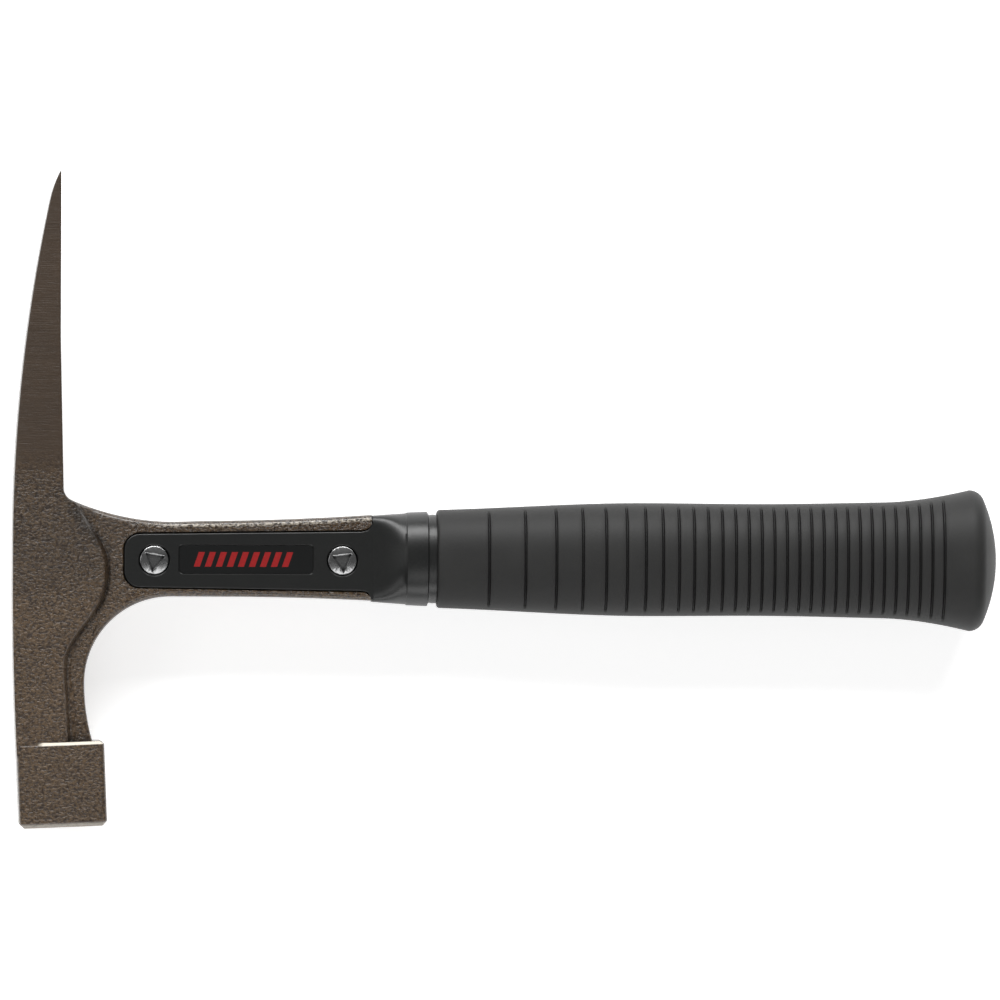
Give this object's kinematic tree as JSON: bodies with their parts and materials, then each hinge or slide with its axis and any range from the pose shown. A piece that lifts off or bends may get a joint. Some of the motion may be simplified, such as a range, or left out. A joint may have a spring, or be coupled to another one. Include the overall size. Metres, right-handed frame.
{
  "type": "rock hammer",
  "caption": "Forged hammer head with a chisel pick and a square block, a pocketed neck and a screwed two-half handle with a grooved rubber grip.",
  "frame": {"origin": "middle of the underside of the whole hammer as it lies on its side", "axes": "+X along the handle from the head to the butt, +Y along the head from the striking face to the pick's edge, +Z out of the near cheek"},
  "size_m": [0.2955, 0.1966, 0.0348],
  "materials": {
    "forged_steel": "brown-grey lacquered forging with a bumpy hammered grain, ground striking face and bevel",
    "handle_nylon": "moulded glass-filled nylon, satin black",
    "grip_rubber": "soft matt black rubber with cross grooves",
    "pin_steel": "rolled spring steel",
    "label_inlay": "gloss black inlay with a plain red bar pattern",
    "plated_screw": "bright zinc plate"
  },
  "bodies": {
    "root": {"hammer_head": "forged_steel", "near_handle_half": "handle_nylon", "far_handle_half": "handle_nylon", "rubber_grip": "grip_rubber", "tang_pin": "pin_steel", "near_label": "label_inlay", "far_label": "label_inlay", "front_screw": "plated_screw", "rear_screw": "plated_screw", "front_barrel_nut": "plated_screw", "rear_barrel_nut": "plated_screw"}
  },
  "joints": []
}
